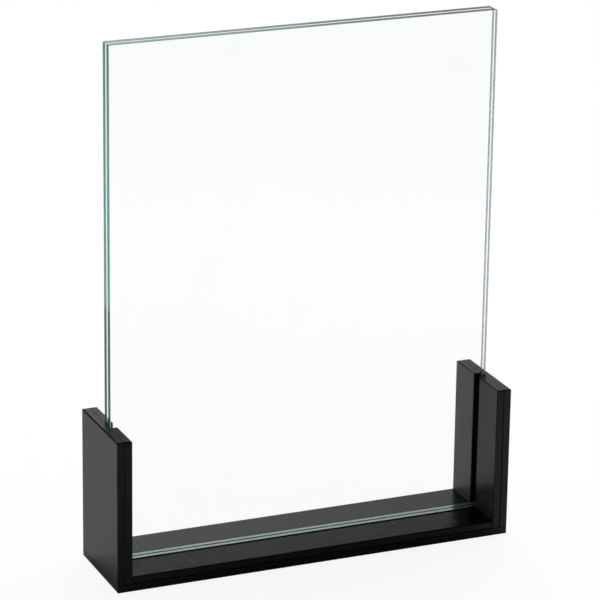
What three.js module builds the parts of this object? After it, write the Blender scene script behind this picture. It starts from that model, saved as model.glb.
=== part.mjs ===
// U-frame sign holder: a black U-shaped stand with a groove down the inside of each upright, and
// two clear glass panes that stand in the grooves with room for a sign between them.
//
// Units are millimetres. X runs along the width, Y from front to back, and Z is up.
// The origin is the middle of the underside.

import * as THREE from 'three';

// Glass panes
const paneWidth = 215.75;
const paneHeight = 280;
const paneThickness = 3.75;
const paneCornerRadius = 1.5;
const paneArris = 0.25;

// Room round the panes
const signGap = 1.5;
const paneFaceClearance = 0.375;
const paneEdgeClearance = 0.375;

// Black sheet that the stand is cut from, and the stand's overall size
const outerBoardThickness = 4.25;
const innerStripThickness = 4.125;
const frameDepth = 54.25;
const frameHeight = 84;
const boardCornerRadius = 0.8;
const boardArris = 0.6;

// Roundness of the eased edges
const cornerSegments = 4;
const arrisSegments = 3;

// The groove takes both panes with the sign's room between them.
const grooveWidth = 2 * (paneThickness + paneFaceClearance) + signGap;
const grooveSpan = paneWidth + 2 * paneEdgeClearance;

// The boards enclose the groove.
const frameWidth = grooveSpan + 2 * outerBoardThickness;
const uprightHeight = frameHeight - outerBoardThickness;
const stripWidth = (frameDepth - grooveWidth) / 2;
const baseStripLength = grooveSpan - 2 * innerStripThickness;

// The strip under the panes is as wide and as long as the two panes that stand on it.
const middleStripWidth = 2 * paneThickness + signGap;
const middleStripLength = paneWidth;

// Heights and distances of the pieces from the underside and the middle planes
const baseStripZ = outerBoardThickness + innerStripThickness / 2;
const baseTop = outerBoardThickness + innerStripThickness;
const outerBoardX = (grooveSpan + outerBoardThickness) / 2;
const uprightStripX = (grooveSpan - innerStripThickness) / 2;
const stripY = (grooveWidth + stripWidth) / 2;
const paneY = (signGap + paneThickness) / 2;

const blackAcrylic = { color: 0x0a0a0b, roughness: 0.3, metalness: 0 };
const clearGlass = {
  color: 0xd8efe9,
  roughness: 0.03,
  metalness: 0,
  transparent: true,
  opacity: 0.3,
};

// A flat sheet in the XY plane, centred on the origin, with rounded corners and eased edges.
function sheetGeometry(width, height, thickness, cornerRadius, arris) {
  const radius = Math.min(cornerRadius, width / 2, height / 2);
  const ease = Math.min(arris, radius * 0.75, thickness / 4);
  const right = width / 2 - radius;
  const top = height / 2 - radius;
  const outline = new THREE.Shape();
  outline.absarc(right, top, radius, 0, Math.PI / 2);
  outline.absarc(-right, top, radius, Math.PI / 2, Math.PI);
  outline.absarc(-right, -top, radius, Math.PI, 1.5 * Math.PI);
  outline.absarc(right, -top, radius, 1.5 * Math.PI, 2 * Math.PI);
  const geometry = new THREE.ExtrudeGeometry(outline, {
    depth: thickness - 2 * ease,
    bevelEnabled: true,
    bevelThickness: ease,
    bevelSize: ease,
    bevelOffset: -ease,
    bevelSegments: arrisSegments,
    curveSegments: cornerSegments,
  });
  geometry.translate(0, 0, ease - thickness / 2);
  return geometry;
}

function namedMesh(name, geometry, look) {
  const mesh = new THREE.Mesh(geometry, new THREE.MeshStandardMaterial(look));
  mesh.name = name;
  return mesh;
}

// A board that lies flat: length along X, width along Y.
function lyingBoard(name, length, width, thickness) {
  const geometry = sheetGeometry(length, width, thickness, boardCornerRadius, boardArris);
  return namedMesh(name, geometry, blackAcrylic);
}

// A board that stands on end and faces sideways: width along Y, height along Z.
function standingBoard(name, width, height, thickness) {
  const geometry = sheetGeometry(width, height, thickness, boardCornerRadius, boardArris);
  geometry.rotateX(Math.PI / 2);
  geometry.rotateZ(Math.PI / 2);
  return namedMesh(name, geometry, blackAcrylic);
}

// The board that the whole stand is built on.
function bottomBoard() {
  const mesh = lyingBoard('bottom_board', frameWidth, frameDepth, outerBoardThickness);
  mesh.position.set(0, 0, outerBoardThickness / 2);
  return mesh;
}

// A strip on the bottom board, in front of the panes or behind them.
function baseStrip(place, frontOrBack) {
  const name = `base_${place}_strip`;
  const mesh = lyingBoard(name, baseStripLength, stripWidth, innerStripThickness);
  mesh.position.set(0, frontOrBack * stripY, baseStripZ);
  return mesh;
}

// The strip between those two carries the panes, and its ends lie in the uprights' grooves.
function baseMiddleStrip() {
  const name = 'base_middle_strip';
  const mesh = lyingBoard(name, middleStripLength, middleStripWidth, innerStripThickness);
  mesh.position.set(0, 0, baseStripZ);
  return mesh;
}

// The outer board of an upright stands on the end of the bottom board.
function outerBoard(side, leftOrRight) {
  const mesh = standingBoard(`${side}_outer_board`, frameDepth, uprightHeight, outerBoardThickness);
  mesh.position.set(leftOrRight * outerBoardX, 0, outerBoardThickness + uprightHeight / 2);
  return mesh;
}

// A strip on the inside of an upright, in front of the groove or behind it.
function uprightStrip(side, leftOrRight, place, frontOrBack) {
  const name = `${side}_${place}_strip`;
  const mesh = standingBoard(name, stripWidth, uprightHeight, innerStripThickness);
  mesh.position.set(
    leftOrRight * uprightStripX,
    frontOrBack * stripY,
    outerBoardThickness + uprightHeight / 2,
  );
  return mesh;
}

// A pane stands on the middle strip, with its side edges in the uprights' grooves.
function glassPane(place, frontOrBack) {
  const geometry = sheetGeometry(paneWidth, paneHeight, paneThickness, paneCornerRadius, paneArris);
  geometry.rotateX(Math.PI / 2);
  const mesh = namedMesh(`${place}_glass_pane`, geometry, clearGlass);
  mesh.position.set(0, frontOrBack * paneY, baseTop + paneHeight / 2);
  return mesh;
}

const sides = [['left', -1], ['right', 1]];
const places = [['front', -1], ['rear', 1]];

const stand = new THREE.Group();
stand.add(bottomBoard(), baseMiddleStrip());
for (const [place, frontOrBack] of places) {
  stand.add(baseStrip(place, frontOrBack));
}
for (const [side, leftOrRight] of sides) {
  stand.add(outerBoard(side, leftOrRight));
  for (const [place, frontOrBack] of places) {
    stand.add(uprightStrip(side, leftOrRight, place, frontOrBack));
  }
}

const panes = new THREE.Group();
for (const [place, frontOrBack] of places) {
  panes.add(glassPane(place, frontOrBack));
}

const signHolder = new THREE.Group();
signHolder.add(stand, panes);

export default signHolder;
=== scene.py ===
"""A table-top sign holder: a U-shaped stand of black sheet, with two clear glass panes."""

import math

import bpy
from bpy.props import FloatProperty, FloatVectorProperty, PointerProperty
from mathutils import Matrix, Vector


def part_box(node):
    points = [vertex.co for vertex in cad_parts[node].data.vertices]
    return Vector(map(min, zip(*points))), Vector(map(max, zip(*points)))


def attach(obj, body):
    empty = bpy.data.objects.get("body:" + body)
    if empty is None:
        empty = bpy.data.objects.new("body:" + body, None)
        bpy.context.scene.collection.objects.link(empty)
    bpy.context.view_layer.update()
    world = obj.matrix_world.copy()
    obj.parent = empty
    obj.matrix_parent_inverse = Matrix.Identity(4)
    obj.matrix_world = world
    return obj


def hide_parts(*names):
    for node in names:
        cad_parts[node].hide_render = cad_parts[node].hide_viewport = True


bl_info = {
    "name": "U-Frame Sign Holder",
    "version": (1, 0, 0),
    "blender": (4, 5, 0),
    "location": "3D View > Sidebar > Sign Holder",
    "description": "A black U-shaped stand that holds two clear glass panes upright",
    "category": "Add Mesh",
}

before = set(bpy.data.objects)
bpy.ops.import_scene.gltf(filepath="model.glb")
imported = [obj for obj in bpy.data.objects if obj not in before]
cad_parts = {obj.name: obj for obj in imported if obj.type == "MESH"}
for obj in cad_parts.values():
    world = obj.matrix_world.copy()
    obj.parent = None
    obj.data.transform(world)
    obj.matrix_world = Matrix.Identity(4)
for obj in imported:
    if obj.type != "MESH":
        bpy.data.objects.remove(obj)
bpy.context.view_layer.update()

AXES = "xyz"

# The edges of a sheet, each named by its two sides, such as "-y+z"
ALL_EDGES = [
    first + second
    for ways in ("xy", "xz", "yz")
    for first in ("-" + ways[0], "+" + ways[0])
    for second in ("-" + ways[1], "+" + ways[1])
]

# Each upright, with the way out from the panes and the way in to them
UPRIGHTS = (("left", "-x", "+x"), ("right", "+x", "-x"))

# How strongly acrylic sheet and glass bend light
ACRYLIC_IOR = 1.49
GLASS_IOR = 1.52

# Where a finish starts to change and where it has changed, in metres: distances from the
# object's middle, places along its width, and heights above the floor
# Painted light: the lighter film on the uprights' inner faces ends here
INNER_FACES_END = (0.109, 0.1105)
# Painted light at the left end of a pane's top edge fades out between these places
LEFT_PAINTED_LIGHT_FADES = (-0.11, 0.05)
# Painted shade sets in along the right end of a pane's top edge between these places
RIGHT_END_DARKENS = (-0.03, 0.08)
PANE_TOP_STARTS = (0.15, 0.16)
# Painted shade darkens a pane's ground edges between these heights
PANE_DARKENS = (0.2, 0.29)
SHADOW_FADES = (0.25, 0.9)

# The same for how far a surface is turned to an axis: the square of its normal's part along it
TURNED_TO_AXIS = (0.8, 0.95)
TURNED_UPWARD = (0.3, 0.45)

# How much painted shade darkens the right end of a pane's top edge, and how many times more of
# the pale frosting its left end has, as painted light
RIGHT_END_PAINTED_SHADE = 0.6
LEFT_END_PAINTED_LIGHT = 5.0

# The angle past which an edge is softened, and the one past which it shades as a sharp edge
SOFTENED_PAST = math.radians(20)
SHARP_PAST = math.radians(50)

# Softboxes stand this far from the point that they light
SOFTBOX_DISTANCE = 1.7
LIT_POINT = Vector((0, 0, 0.06))

# Light is followed far enough to run along inside a pane and out of its edge
BOUNCES = 64


# Settings


class BoardSettings(bpy.types.PropertyGroup):
    """Edges and finish of the black boards and strips."""

    open_edge: FloatProperty(
        name="Open Edge",
        description="Width planed off the edges that the stand shows on its outside",
        default=0.0006,
        min=0.0,
        subtype="DISTANCE",
        unit="LENGTH",
    )
    seam_edge: FloatProperty(
        name="Seam Edge",
        description="Width taken off the edges where two layers show side by side",
        default=0.00035,
        min=0.0,
        subtype="DISTANCE",
        unit="LENGTH",
    )
    butt_edge: FloatProperty(
        name="Butt Edge",
        description="Width taken off the edges that are glued up tight and sanded flush",
        default=0.0001,
        min=0.0,
        subtype="DISTANCE",
        unit="LENGTH",
    )
    groove_lip: FloatProperty(
        name="Groove Lip",
        description="Width planed off the front base strip where it faces the panes",
        default=0.0016,
        min=0.0,
        subtype="DISTANCE",
        unit="LENGTH",
    )
    edge_softness: FloatProperty(
        name="Edge Softness",
        description="Roundness where an eased edge meets the flat faces",
        default=0.00004,
        min=0.0,
        subtype="DISTANCE",
        unit="LENGTH",
    )
    black: FloatVectorProperty(
        name="Black",
        description="Colour of the sheet",
        default=(0.0013, 0.0013, 0.0014),
        min=0.0,
        max=1.0,
        size=3,
        subtype="COLOR",
    )
    dust: FloatVectorProperty(
        name="Dust",
        description="Colour of the dust specks on the sheet",
        default=(0.16, 0.155, 0.15),
        min=0.0,
        max=1.0,
        size=3,
        subtype="COLOR",
    )
    # Painted light: the film of dust colour lightens the uprights' inner faces and their
    # grooves, standing in for light from the room
    inner_painted_light: FloatProperty(
        name="Inner Film",
        description="How much of the dust colour lies as a film on the uprights' inner faces",
        default=0.4,
        min=0.0,
        max=1.0,
        subtype="FACTOR",
    )
    inner_dulling: FloatProperty(
        name="Inner Dulling",
        description="Roughness that the film adds to the uprights' inner faces",
        default=0.1,
        min=0.0,
        max=1.0,
        subtype="FACTOR",
    )
    face_roughness: FloatProperty(
        name="Face Roughness",
        description="Roughness of the sheet's flat faces",
        default=0.26,
        min=0.0,
        max=1.0,
        subtype="FACTOR",
    )
    edge_roughness: FloatProperty(
        name="Edge Roughness",
        description="Roughness of the cut edges",
        default=0.33,
        min=0.0,
        max=1.0,
        subtype="FACTOR",
    )
    saw_marks: FloatProperty(
        name="Saw Mark Spacing",
        description="Distance between the fine marks across a cut edge",
        default=0.0008,
        min=0.0001,
        subtype="DISTANCE",
        unit="LENGTH",
    )


class PaneSettings(bpy.types.PropertyGroup):
    """Edges and finish of the glass panes."""

    corner_cut: FloatProperty(
        name="Corner Cut",
        description="Width ground off a pane's four corners",
        default=0.0004,
        min=0.0,
        subtype="DISTANCE",
        unit="LENGTH",
    )
    arris: FloatProperty(
        name="Ground Arris",
        description="Width ground off each long edge of a pane",
        default=0.00012,
        min=0.0,
        subtype="DISTANCE",
        unit="LENGTH",
    )
    foot_gap: FloatProperty(
        name="Gap Under Foot",
        description="Air left between a pane's lower edge and the strip that it stands on",
        default=0.00005,
        min=0.0,
        subtype="DISTANCE",
        unit="LENGTH",
    )
    depth_colour: FloatVectorProperty(
        name="Depth Colour",
        description="Colour that the glass takes on along a long way through it",
        default=(0.02, 0.46, 0.39),
        min=0.0,
        max=1.0,
        size=3,
        subtype="COLOR",
    )
    depth_strength: FloatProperty(
        name="Depth Strength",
        description="How fast the glass takes on that colour, per metre of glass",
        default=3.5,
        min=0.0,
    )
    edge_tint: FloatVectorProperty(
        name="Edge Tint",
        description="Colour that the ground edges give to the light that comes out of them",
        default=(0.23, 0.66, 0.58),
        min=0.0,
        max=1.0,
        size=3,
        subtype="COLOR",
    )
    frost: FloatVectorProperty(
        name="Frost",
        description="Colour of the fine frosting that the grinding leaves on the edges",
        default=(0.60, 0.84, 0.80),
        min=0.0,
        max=1.0,
        size=3,
        subtype="COLOR",
    )
    frosting: FloatProperty(
        name="Frosting",
        description="Share of a ground edge that the frosting covers",
        default=0.15,
        min=0.0,
        max=1.0,
        subtype="FACTOR",
    )
    edge_roughness: FloatProperty(
        name="Edge Roughness",
        description="Roughness of the ground edges",
        default=0.07,
        min=0.0,
        max=1.0,
        subtype="FACTOR",
    )


class StageSettings(bpy.types.PropertyGroup):
    """Floor, light and camera."""

    floor_size: FloatProperty(
        name="Floor Size",
        description="Length of the floor's sides",
        default=24.0,
        min=1.0,
        subtype="DISTANCE",
        unit="LENGTH",
    )
    floor_colour: FloatVectorProperty(
        name="Floor Colour",
        description="Colour of the floor",
        default=(0.78, 0.78, 0.78),
        min=0.0,
        max=1.0,
        size=3,
        subtype="COLOR",
    )
    shadow: FloatProperty(
        name="Shadow",
        description="How much of the object's shadow shows on the white floor",
        default=0.2,
        min=0.0,
        max=1.0,
        subtype="FACTOR",
    )
    lens: FloatProperty(
        name="Focal Length",
        description="Focal length of the camera on a 36 mm sensor, in millimetres",
        default=202.602,
        min=1.0,
    )
    camera_place: FloatVectorProperty(
        name="Camera Place",
        description="Where the camera stands",
        default=(-0.659935, -1.544692, 0.718701),
        size=3,
        subtype="TRANSLATION",
        unit="LENGTH",
    )
    camera_turn: FloatVectorProperty(
        name="Camera Turn",
        description="Turn from straight ahead, tilt down, and roll of the camera",
        default=(math.radians(23.1282), math.radians(19.025), math.radians(0.825)),
        size=3,
        subtype="EULER",
        unit="ROTATION",
    )
    key_light: FloatProperty(
        name="Key Light",
        description="Brightness of the softbox above and behind the object",
        default=4.73,
        min=0.0,
    )
    left_light: FloatProperty(
        name="Left Light",
        description="Brightness of the low softbox on the left",
        default=5.0,
        min=0.0,
    )
    right_light: FloatProperty(
        name="Right Light",
        description="Brightness of the low softbox on the right",
        default=5.58,
        min=0.0,
    )
    card_light: FloatProperty(
        name="Card Light",
        description="Brightness of the card behind the object that the top faces mirror",
        default=0.375,
        min=0.0,
    )
    backdrop_light: FloatProperty(
        name="Backdrop Light",
        description="Brightness of the backdrop that the object mirrors from right behind it",
        default=0.39,
        min=0.0,
    )
    room_light: FloatProperty(
        name="Room Light",
        description="Brightness of the rest of the room",
        default=0.04,
        min=0.0,
    )


# Finishes


class Value:
    """A number, colour or place that varies over a surface. Sums on numbers add Math nodes."""

    def __init__(self, finish, socket):
        self.finish = finish
        self.socket = socket

    def __add__(self, other):
        return self.finish.math("ADD", self, other)

    def __radd__(self, other):
        return self.finish.math("ADD", other, self)

    def __sub__(self, other):
        return self.finish.math("SUBTRACT", self, other)

    def __rsub__(self, other):
        return self.finish.math("SUBTRACT", other, self)

    def __mul__(self, other):
        return self.finish.math("MULTIPLY", self, other)

    def __rmul__(self, other):
        return self.finish.math("MULTIPLY", other, self)


class Finish:
    """The nodes of a material or a world, made in code."""

    def __init__(self, owner):
        owner.use_nodes = True
        self.tree = owner.node_tree
        self.tree.nodes.clear()

    def node(self, kind, settings=None, inputs=None, output=0):
        """Adds a node: its settings first, then the values or links of its sockets."""
        made = self.tree.nodes.new(kind)
        for name, setting in (settings or {}).items():
            setattr(made, name, setting)
        for name, given in (inputs or {}).items():
            if isinstance(given, Value):
                self.tree.links.new(given.socket, made.inputs[name])
            else:
                made.inputs[name].default_value = given
        return Value(self, made.outputs[output]) if made.outputs else None

    def math(self, operation, first, second):
        """Works on two numbers, of which one at least varies over the surface."""
        return self.node("ShaderNodeMath", {"operation": operation}, {0: first, 1: second})

    def place(self, per_metre=1, turn=None):
        """The place on the object, turned, and then scaled evenly or by three numbers."""
        here = self.node("ShaderNodeTexCoord", output="Object")
        if turn:
            turned = {"Vector": here, "Rotation": [math.radians(angle) for angle in turn]}
            here = self.node("ShaderNodeMapping", {"vector_type": "POINT"}, turned)
        scale = per_metre if isinstance(per_metre, (list, tuple)) else (per_metre,) * 3
        return self.node("ShaderNodeVectorMath", {"operation": "MULTIPLY"}, {0: here, 1: scale})

    def part(self, whole, axis):
        """The part along X, Y or Z of a place or a normal."""
        return self.node("ShaderNodeSeparateXYZ", None, {"Vector": whole}, output=axis)

    def between(self, value, low, high, at_low=0.0, at_high=1.0):
        """Runs smoothly from at_low to at_high as the value goes from low to high."""
        settings = {"interpolation_type": "SMOOTHSTEP"}
        names = ("Value", "From Min", "From Max", "To Min", "To Max")
        inputs = dict(zip(names, (value, low, high, at_low, at_high)))
        return self.node("ShaderNodeMapRange", settings, inputs)

    def blend(self, share, first, second):
        """Mixes two colours."""
        # A Mix node has its sockets for colours at these numbers.
        factor, colour_a, colour_b, result = 0, 6, 7, 2
        inputs = {factor: share, colour_a: first, colour_b: second}
        return self.node("ShaderNodeMix", {"data_type": "RGBA"}, inputs, output=result)

    def facing(self, axis, limits=TURNED_TO_AXIS):
        """One where the surface faces either way along an axis, and zero where it doesn't."""
        aim = self.part(self.node("ShaderNodeTexCoord", output="Normal"), axis)
        return self.between(aim * aim, *limits)

    def noise(self, per_metre, detail=2.0, roughness=0.5, turn=None):
        """Noise from 0 to 1, with that many features to the metre, evenly or on each axis."""
        where = self.place(per_metre, turn)
        inputs = {"Vector": where, "Scale": 1.0, "Detail": detail, "Roughness": roughness}
        return self.node("ShaderNodeTexNoise", None, inputs)

    def specks(self, spacing, size):
        """Round specks scattered at that spacing. Their size is a share of it."""
        settings = {"feature": "F1", "voronoi_dimensions": "3D"}
        inputs = {"Vector": self.place(1 / spacing), "Scale": 1.0}
        apart = self.node("ShaderNodeTexVoronoi", settings, inputs)
        solid_core = size * 0.6
        return self.between(apart, solid_core, size, 1.0, 0.0)

    def scratches(self, length, width, share, turn):
        """Fine straight scratches that run one way over that share of the surface."""
        streaks = self.noise((1 / length, 1 / width, 1 / width), detail=1.0, turn=turn)
        start = 1 - share
        return self.between(streaks, start, start + 0.02)

    def wander(self, middle, *patterns):
        """A value that each pattern moves about its middle, over its own range."""
        for pattern, span in patterns:
            middle = middle + (pattern - 0.5) * span
        return middle

    def bump(self, relief, depth):
        """The normal of a surface with that height pattern, depth metres deep."""
        inputs = {"Height": relief, "Strength": 1.0, "Distance": depth}
        return self.node("ShaderNodeBump", None, inputs)

    def acrylic(self, tint, rough, relief, depth):
        """Makes the surface acrylic, with that colour, roughness and relief."""
        inputs = {
            "Base Color": tint,
            "Roughness": rough,
            "IOR": ACRYLIC_IOR,
            "Normal": self.bump(relief, depth),
        }
        shader = self.node("ShaderNodeBsdfPrincipled", None, inputs)
        self.node("ShaderNodeOutputMaterial", None, {"Surface": shader})


def finished(name, build, *given):
    """The material of that name, which is built the first time that it is asked for."""
    material = bpy.data.materials.get(name)
    if material is None:
        material = bpy.data.materials.new(name)
        build(Finish(material), *given)
    return material


def colour(rgb, brightness=1.0):
    """A colour as nodes take it, at a share of its brightness."""
    return (*(part * brightness for part in rgb), 1.0)


def grey(brightness):
    """A grey as nodes take it: 1 is white, and more is brighter than white."""
    return (brightness, brightness, brightness, 1.0)


def black_sheet_face(finish, boards):
    """Flat face of the black sheet: soft gloss, wiped clean, with faint wipe marks and dust,
    and painted light on the uprights' inner faces.
    """
    smudges = finish.noise(per_metre=34, detail=3.0, roughness=0.6)
    wiped = finish.noise(per_metre=(16, 110, 110), detail=3.0, roughness=0.6, turn=(12, 25, 40))
    grain = finish.noise(per_metre=2400, roughness=0.6)
    peel = finish.noise(per_metre=260)
    hairlines = finish.scratches(length=0.05, width=0.00035, share=0.27, turn=(8, 14, 31))
    crossing = finish.scratches(length=0.035, width=0.0003, share=0.25, turn=(70, -22, 118))
    scratched = hairlines * 0.6 + crossing * 0.4
    dust = finish.specks(spacing=0.0042, size=0.034) * finish.between(smudges, 0.42, 0.62)

    across = finish.part(finish.place(), "X")
    start, end = (limit * limit for limit in INNER_FACES_END)
    inner = finish.between(across * across, start, end, 1.0, 0.0) * finish.facing("X")
    # Painted light: a film of the dust colour lightens the uprights' inner faces, down into the
    # grooves
    film = inner * boards.inner_painted_light * finish.between(smudges, 0.2, 0.8, 0.8, 1.2)

    cloudy = finish.blend(wiped, colour(boards.black), colour(boards.black, 1.7))
    specked = finish.blend(dust * 0.7, cloudy, colour(boards.dust))
    dust_and_painted_light = finish.blend(film, specked, colour(boards.dust))
    rough = finish.wander(boards.face_roughness, (smudges, 0.06), (wiped, 0.05), (grain, 0.05))
    rough = rough + scratched * 0.05 + dust * 0.3 + inner * boards.inner_dulling
    relief = grain * 0.35 + peel * 0.35 - scratched * 0.2 + dust * 0.4
    finish.acrylic(dust_and_painted_light, rough, relief, depth=0.0000012)


def black_cut_edge(finish, boards, thin):
    """Sawn and scraped edge of sheet, thin along that axis, with fine marks across it."""
    fine = [70 if axis == thin else 1 / boards.saw_marks for axis in AXES]
    coarse = [part * 0.12 for part in fine]
    marks = finish.noise(per_metre=fine, roughness=0.65)
    chatter = finish.noise(per_metre=coarse)
    grain = finish.noise(per_metre=3000, detail=1.0)
    smudges = finish.noise(per_metre=60)

    scraped = finish.between(marks, 0.35, 0.75)
    streaky = finish.blend(scraped, colour(boards.black), colour(boards.black, 2.0))
    rough = finish.wander(
        boards.edge_roughness, (marks, 0.22), (chatter, 0.12), (smudges, 0.08), (grain, 0.05)
    )
    relief = marks * 0.7 + chatter * 0.5 + grain * 0.15
    finish.acrylic(streaky, rough, relief, depth=0.000006)


def green_edged_glass(finish, panes):
    """Clear glass: polished faces with faint finger marks, ground edges with painted shade and
    painted light on them, and a green depth.
    """
    ground = 1 - finish.facing("Y")
    here = finish.place()
    along, height = finish.part(here, "X"), finish.part(here, "Z")
    painted_shade_high_up = finish.between(height, *PANE_DARKENS)
    top_edge = finish.facing("Z", TURNED_UPWARD) * finish.between(height, *PANE_TOP_STARTS)
    left_end_light = top_edge * finish.between(along, *LEFT_PAINTED_LIGHT_FADES, 1.0, 0.0)
    right_end_shade = top_edge * finish.between(along, *RIGHT_END_DARKENS)

    # The polished faces
    streaks = finish.noise(per_metre=(9, 60, 60), detail=3.0, roughness=0.6, turn=(0, 35, 0))
    touched = finish.between(finish.noise(per_metre=26, detail=3.0, roughness=0.6), 0.58, 0.72)
    polished = finish.between(streaks, 0.5, 0.8, 0.0, 0.012) + touched * 0.02
    wavy = finish.noise(per_metre=7, detail=1.0, roughness=0.4)
    clean = finish.blend(touched, grey(1.0), grey(0.99))

    # The ground edges, with their marks along the edge, and painted shade that darkens them
    # high up on a pane
    along_x = finish.noise(per_metre=(60, 2600, 2600), roughness=0.6)
    along_z = finish.noise(per_metre=(2600, 2600, 60), roughness=0.6)
    marks = along_x * 0.5 + along_z * 0.5
    frosted = finish.wander(panes.edge_roughness, (marks, 0.1))
    tint = finish.blend(painted_shade_high_up, colour(panes.edge_tint), colour(panes.edge_tint, 0.5))
    mark_colour_with_painted_shade = finish.blend(painted_shade_high_up, colour(panes.edge_tint, 0.8), colour(panes.edge_tint, 0.4))
    streaky = finish.blend(finish.between(marks, 0.15, 0.85), mark_colour_with_painted_shade, tint)
    # Painted shade: the right end of the top edge is darkened towards a tenth of the edge tint
    streaky = finish.blend(right_end_shade * RIGHT_END_PAINTED_SHADE, streaky, colour(panes.edge_tint, 0.1))

    clear_glass = {
        "Base Color": finish.blend(ground, clean, streaky),
        "Roughness": polished * (1 - ground) + frosted * ground,
        "IOR": GLASS_IOR,
        "Transmission Weight": 1.0,
        "Specular Tint": grey(0.12),
        "Normal": finish.bump(wavy * (1 - ground) + marks * ground, depth=0.00001),
    }
    frosting = {
        "Base Color": finish.blend(marks, colour(panes.frost, 0.7), colour(panes.frost)),
        "Roughness": 0.55,
        "IOR": GLASS_IOR,
    }
    clear = finish.node("ShaderNodeBsdfPrincipled", None, clear_glass)
    frosty = finish.node("ShaderNodeBsdfPrincipled", None, frosting)
    cover = ground * panes.frosting * finish.between(marks, 0.2, 0.8, 0.85, 1.15)
    # Painted light: the left end of the top edge gets several times more of the pale frosting,
    # which lightens it
    cover = cover * (1 + left_end_light * LEFT_END_PAINTED_LIGHT)
    surface = finish.node("ShaderNodeMixShader", None, {0: cover, 1: clear, 2: frosty})
    green = {"Color": colour(panes.depth_colour), "Density": panes.depth_strength}
    depth = finish.node("ShaderNodeVolumeAbsorption", None, green)
    finish.node("ShaderNodeOutputMaterial", None, {"Surface": surface, "Volume": depth})


def pale_floor(finish, stage):
    """Pale floor that is white to the camera, apart from the object's shadow close to it."""
    mottle = finish.noise(per_metre=3)
    paper = finish.blend(mottle, colour(stage.floor_colour), colour(stage.floor_colour, 1.02))
    lit = finish.node("ShaderNodeBsdfDiffuse", None, {"Color": paper})
    length = {"operation": "LENGTH"}
    away = finish.node("ShaderNodeVectorMath", length, {0: finish.place()}, output="Value")
    shade = finish.between(away, *SHADOW_FADES, stage.shadow, 0.0)
    topped_up = finish.blend(shade, grey(1.0), grey(1.66))
    white = finish.node("ShaderNodeEmission", None, {"Color": topped_up, "Strength": 1.0})
    share = seen_directly(finish) * (1 - shade)
    shown = finish.node("ShaderNodeMixShader", None, {0: share, 1: lit, 2: white})
    clear = finish.node("ShaderNodeBsdfTransparent")
    under = finish.node("ShaderNodeNewGeometry", output="Backfacing")
    surface = finish.node("ShaderNodeMixShader", None, {0: under, 1: shown, 2: clear})
    finish.node("ShaderNodeOutputMaterial", None, {"Surface": surface})


def seen_directly(finish):
    """One where the camera sees something itself, through the panes or along inside them."""
    camera = finish.node("ShaderNodeLightPath", output="Is Camera Ray")
    through = finish.node("ShaderNodeLightPath", output="Is Transmission Ray")
    mirrored = finish.node("ShaderNodeLightPath", output="Glossy Depth")
    scattered = finish.node("ShaderNodeLightPath", output="Diffuse Depth")
    less_than_once, more_than_six_times = 0.5, 6.5
    straight = finish.math("LESS_THAN", mirrored + scattered, less_than_once)
    inside = finish.math("GREATER_THAN", mirrored, more_than_six_times)
    return finish.math("MAXIMUM", camera, through * (straight + inside))


# Modelling


def deselect():
    """Leaves nothing selected."""
    if bpy.context.mode != "OBJECT":
        bpy.ops.object.mode_set(mode="OBJECT")
    bpy.ops.object.select_all(action="DESELECT")


def edit_edges():
    """Goes into edit mode on edges, with nothing selected."""
    bpy.ops.object.mode_set(mode="EDIT")
    bpy.ops.mesh.select_mode(type="EDGE")
    bpy.ops.mesh.select_all(action="DESELECT")


def select_edges(piece, wanted):
    """Leaves the piece in edit mode, with just the edges selected that the test picks."""
    edit_edges()
    bpy.ops.object.mode_set(mode="OBJECT")
    mesh = piece.data
    found = 0
    for edge in mesh.edges:
        start, end = (mesh.vertices[index].co for index in edge.vertices)
        edge.select = wanted(start, end)
        found += edge.select
    bpy.ops.object.mode_set(mode="EDIT")
    if not found:
        raise RuntimeError(f"{piece.name}: no edges to shape")


def cut_blank(name, low, high):
    """A square-edged blank between two corners, with its place in its mesh."""
    deselect()
    bpy.ops.mesh.primitive_cube_add(size=1.0, location=(low + high) / 2)
    piece = bpy.context.active_object
    piece.name = piece.data.name = name
    piece.scale = high - low
    bpy.ops.object.transform_apply(location=True, rotation=True, scale=True)
    return piece


def plane_edges(piece, low, high, edges, width):
    """Planes a flat off some edges of a blank. Two sides name an edge, such as "-y+z"."""
    if not edges or not width:
        return
    near = min(high - low) / 100

    def on_side(point, side):
        way = AXES.index(side[1])
        face = high[way] if side[0] == "+" else low[way]
        return abs(point[way] - face) < near

    def wanted(start, end):
        return any(
            all(on_side(point, side) for point in (start, end) for side in (edge[:2], edge[2:]))
            for edge in edges
        )

    select_edges(piece, wanted)
    bpy.ops.mesh.bevel(offset=width, segments=1, affect="EDGES")
    bpy.ops.object.mode_set(mode="OBJECT")


def soften_edges(width):
    """Rounds by a hair all the sharp edges of the piece that is being made."""
    edit_edges()
    bpy.ops.mesh.edges_select_sharp(sharpness=SOFTENED_PAST)
    bpy.ops.mesh.bevel(
        offset=width, segments=2, profile=0.5, affect="EDGES", clamp_overlap=True
    )
    bpy.ops.object.mode_set(mode="OBJECT")


def coat_edge(piece, thin, edge):
    """Gives a sheet that has a finish on its faces another one all round its edge."""
    piece.data.materials.append(edge)
    for polygon in piece.data.polygons:
        is_face = abs(polygon.normal[AXES.index(thin)]) > 0.98
        polygon.material_index = 0 if is_face else 1


def shade_evenly(piece):
    """Shades the rounded edges smooth and keeps the flat faces flat."""
    deselect()
    piece.select_set(True)
    bpy.context.view_layer.objects.active = piece
    bpy.ops.object.shade_smooth_by_angle(angle=SHARP_PAST)
    weigh = piece.modifiers.new("even_shading", "WEIGHTED_NORMAL")
    weigh.keep_sharp = True
    bpy.ops.object.modifier_apply(modifier=weigh.name)


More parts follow.
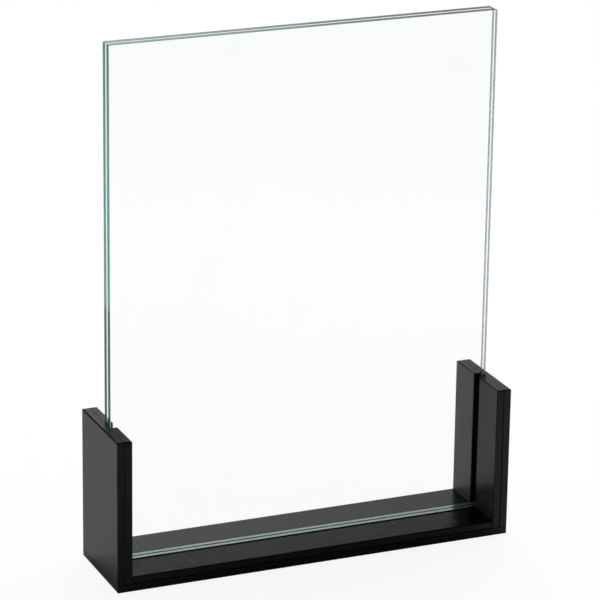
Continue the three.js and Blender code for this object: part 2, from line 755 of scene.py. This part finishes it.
def cut_board(node, thin, open_edges, seam_edges, lip_edges=()):
    """Cuts one board or strip to the size of its CAD node, which is thin along that axis."""
    boards = bpy.context.scene.sign_holder_boards
    low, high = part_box(node)
    piece = cut_blank(node.replace("board", "sheet").replace("strip", "slip"), low, high)
    shaped = [*open_edges, *seam_edges, *lip_edges]
    butt_edges = [edge for edge in ALL_EDGES if edge not in shaped]
    plane_edges(piece, low, high, lip_edges, boards.groove_lip)
    plane_edges(piece, low, high, open_edges, boards.open_edge)
    plane_edges(piece, low, high, seam_edges, boards.seam_edge)
    plane_edges(piece, low, high, butt_edges, boards.butt_edge)
    soften_edges(boards.edge_softness)
    piece.data.materials.append(finished("black_sheet_face", black_sheet_face, boards))
    coat_edge(piece, thin, finished(f"black_cut_edge_{thin}", black_cut_edge, boards, thin))
    shade_evenly(piece)
    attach(piece, "stand")
    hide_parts(node)


def cut_pane(node, body):
    """Cuts one glass pane to the size of its CAD node."""
    panes = bpy.context.scene.sign_holder_panes
    low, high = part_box(node)
    low = low + Vector((0, 0, panes.foot_gap))
    piece = cut_blank(node.replace("_glass_pane", "_pane"), low, high)
    corners = [edge for edge in ALL_EDGES if "y" not in edge]
    rims = [edge for edge in ALL_EDGES if "y" in edge]
    plane_edges(piece, low, high, corners, panes.corner_cut)
    plane_edges(piece, low, high, rims, panes.arris)
    soften_edges(panes.arris / 5)
    piece.data.materials.append(finished("green_edged_glass", green_edged_glass, panes))
    shade_evenly(piece)
    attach(piece, body)
    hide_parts(node)


# Operators


class SIGNHOLDER_OT_bottom_board(bpy.types.Operator):
    """Cut the board that the whole stand is built on"""

    bl_idname = "sign_holder.bottom_board"
    bl_label = "Bottom Board"
    bl_options = {"REGISTER", "UNDO"}

    def execute(self, context):
        open_edges = ["-x-z", "+x-z", "-y-z", "+y-z"]
        seam_edges = ["-y+z", "+y+z", "-x-y", "+x-y", "-x+y", "+x+y"]
        cut_board("bottom_board", "z", open_edges, seam_edges)
        return {"FINISHED"}


class SIGNHOLDER_OT_base_strips(bpy.types.Operator):
    """Cut the three strips that lie on the bottom board"""

    bl_idname = "sign_holder.base_strips"
    bl_label = "Base Strips"
    bl_options = {"REGISTER", "UNDO"}

    def execute(self, context):
        edges = {
            "front": (["-y+z"], ["-y-z", "-x-y", "+x-y"], ["+y+z"]),
            "middle": (["-y+z", "+y+z"], ["-x+z", "+x+z"], []),
            "rear": (["-y+z", "+y+z"], ["+y-z", "-x+y", "+x+y"], []),
        }
        for place, (open_edges, seam_edges, lip_edges) in edges.items():
            cut_board(f"base_{place}_strip", "z", open_edges, seam_edges, lip_edges)
        return {"FINISHED"}


class SIGNHOLDER_OT_outer_boards(bpy.types.Operator):
    """Cut the outer board of each upright"""

    bl_idname = "sign_holder.outer_boards"
    bl_label = "Outer Boards"
    bl_options = {"REGISTER", "UNDO"}

    def execute(self, context):
        for side, out, inward in UPRIGHTS:
            open_edges = [out + "+z", "-y+z", "+y+z"]
            seam_edges = [out + "-y", out + "+y", inward + "-y", inward + "+y"]
            cut_board(f"{side}_outer_board", "x", open_edges, seam_edges)
        return {"FINISHED"}


class SIGNHOLDER_OT_upright_strips(bpy.types.Operator):
    """Cut the strips on the inside of the uprights, which leave a groove between them"""

    bl_idname = "sign_holder.upright_strips"
    bl_label = "Upright Strips"
    bl_options = {"REGISTER", "UNDO"}

    def execute(self, context):
        for side, out, inward in UPRIGHTS:
            for place, free, groove in (("front", "-y", "+y"), ("rear", "+y", "-y")):
                open_edges = [free + "+z"]
                seam_edges = [inward + free, out + free, inward + groove]
                seam_edges += [inward + "+z", groove + "+z"]
                cut_board(f"{side}_{place}_strip", "x", open_edges, seam_edges)
        return {"FINISHED"}


class SIGNHOLDER_OT_glass_panes(bpy.types.Operator):
    """Cut the two glass panes"""

    bl_idname = "sign_holder.glass_panes"
    bl_label = "Glass Panes"
    bl_options = {"REGISTER", "UNDO"}

    def execute(self, context):
        for place in ("front", "rear"):
            cut_pane(f"{place}_glass_pane", f"{place}_pane")
        return {"FINISHED"}


class SIGNHOLDER_OT_stage(bpy.types.Operator):
    """Set up the floor, the light and the camera"""

    bl_idname = "sign_holder.stage"
    bl_label = "Stage"
    bl_options = {"REGISTER", "UNDO"}

    def execute(self, context):
        stage = context.scene.sign_holder_stage
        lay_floor(stage)
        hang_softboxes(stage)
        light_room(context.scene, stage)
        place_camera(context.scene, stage)
        context.scene.view_settings.view_transform = "Standard"
        context.scene.cycles.max_bounces = BOUNCES
        context.scene.cycles.transmission_bounces = BOUNCES
        context.scene.cycles.glossy_bounces = BOUNCES
        return {"FINISHED"}


def lay_floor(stage):
    """Lays the floor under the object."""
    deselect()
    bpy.ops.mesh.primitive_plane_add(size=stage.floor_size)
    floor = bpy.context.active_object
    floor.name = floor.data.name = "floor"
    floor.data.materials.append(finished("pale_floor", pale_floor, stage))


def towards(azimuth, elevation):
    """A way in space: its azimuth runs from straight back round to the right."""
    level = math.cos(elevation)
    return Vector((math.sin(azimuth) * level, math.cos(azimuth) * level, math.sin(elevation)))


def aimed(way):
    """The turn that aims a lamp or a camera that way, with its top up."""
    return way.to_track_quat("-Z", "Y").to_matrix().to_4x4()


def hang_softboxes(stage):
    """Softboxes that face the object, seen in its gloss but not by the camera."""
    softboxes = (
        ("key_softbox", 23, 55, 1.0, 0.7, stage.key_light),
        ("left_softbox", -80, 15, 0.9, 0.7, stage.left_light),
        ("right_softbox", 75, 20, 0.9, 0.7, stage.right_light),
        ("rear_card", 23, 32, 1.0, 0.7, stage.card_light),
    )
    for name, azimuth, elevation, width, height, brightness in softboxes:
        lamp = bpy.data.lights.new(name, "AREA")
        lamp.shape = "RECTANGLE"
        lamp.size, lamp.size_y = width, height
        # The power at which a lamp of this size glows with that brightness
        lamp.energy = math.pi * width * height * brightness
        holder = bpy.data.objects.new(name, lamp)
        bpy.context.scene.collection.objects.link(holder)
        out = towards(math.radians(azimuth), math.radians(elevation))
        place = Matrix.Translation(out * SOFTBOX_DISTANCE + LIT_POINT)
        holder.matrix_world = place @ aimed(-out)
        holder.visible_camera = False
        holder.visible_transmission = False


def light_room(scene, stage):
    """A white room to the camera. The object mirrors a dim one with a pale backdrop."""
    room = bpy.data.worlds.new("studio_room")
    scene.world = room
    finish = Finish(room)
    azimuth, elevation, spread = (math.radians(angle) for angle in (12, 19, 25))
    way = finish.node("ShaderNodeTexCoord", output="Generated")
    ways = {0: way, 1: towards(azimuth, elevation)}
    product = {"operation": "DOT_PRODUCT"}
    nearness = finish.node("ShaderNodeVectorMath", product, ways, output="Value")
    backdrop = finish.between(nearness, math.cos(spread), 1.0, 0.0, stage.backdrop_light)
    mirrored = stage.room_light + backdrop
    strength = finish.math("MAXIMUM", mirrored, seen_directly(finish))
    inputs = {"Color": grey(1.0), "Strength": strength}
    background = finish.node("ShaderNodeBackground", None, inputs)
    finish.node("ShaderNodeOutputWorld", None, {"Surface": background})


def place_camera(scene, stage):
    """Stands the camera where the photograph was taken from."""
    turn, tilt, roll = stage.camera_turn
    lens = bpy.data.cameras.new("camera")
    lens.sensor_width = 36.0
    lens.lens = stage.lens
    lens.clip_end = 100.0
    camera = bpy.data.objects.new("camera", lens)
    scene.collection.objects.link(camera)
    turned = aimed(towards(turn, -tilt)) @ Matrix.Rotation(roll, 4, "Z")
    camera.matrix_world = Matrix.Translation(stage.camera_place) @ turned
    scene.camera = camera


class SIGNHOLDER_PT_panel(bpy.types.Panel):
    """Lists the sign holder's pieces and settings"""

    bl_idname = "SIGNHOLDER_PT_panel"
    bl_label = "Sign Holder"
    bl_space_type = "VIEW_3D"
    bl_region_type = "UI"
    bl_category = "Sign Holder"

    def draw(self, context):
        layout = self.layout
        layout.use_property_split = True
        groups = (
            ("Stand", context.scene.sign_holder_boards, STAND_OPERATORS),
            ("Panes", context.scene.sign_holder_panes, PANE_OPERATORS),
            ("Stage", context.scene.sign_holder_stage, STAGE_OPERATORS),
        )
        for title, settings, operators in groups:
            box = layout.box()
            box.label(text=title)
            for name in settings.bl_rna.properties.keys():
                if name not in ("rna_type", "name"):
                    box.prop(settings, name)
            for operator in operators:
                box.operator(operator.bl_idname)


STAND_OPERATORS = (
    SIGNHOLDER_OT_bottom_board,
    SIGNHOLDER_OT_base_strips,
    SIGNHOLDER_OT_outer_boards,
    SIGNHOLDER_OT_upright_strips,
)
PANE_OPERATORS = (SIGNHOLDER_OT_glass_panes,)
STAGE_OPERATORS = (SIGNHOLDER_OT_stage,)
CLASSES = (
    BoardSettings,
    PaneSettings,
    StageSettings,
    *STAND_OPERATORS,
    *PANE_OPERATORS,
    *STAGE_OPERATORS,
    SIGNHOLDER_PT_panel,
)


def register():
    for cls in CLASSES:
        bpy.utils.register_class(cls)
    bpy.types.Scene.sign_holder_boards = PointerProperty(type=BoardSettings)
    bpy.types.Scene.sign_holder_panes = PointerProperty(type=PaneSettings)
    bpy.types.Scene.sign_holder_stage = PointerProperty(type=StageSettings)


def unregister():
    del bpy.types.Scene.sign_holder_stage
    del bpy.types.Scene.sign_holder_panes
    del bpy.types.Scene.sign_holder_boards
    for cls in reversed(CLASSES):
        bpy.utils.unregister_class(cls)


def main():
    register()
    bpy.ops.sign_holder.bottom_board()
    bpy.ops.sign_holder.base_strips()
    bpy.ops.sign_holder.outer_boards()
    bpy.ops.sign_holder.upright_strips()
    bpy.ops.sign_holder.glass_panes()
    bpy.ops.sign_holder.stage()


if __name__ == "__main__":
    main()
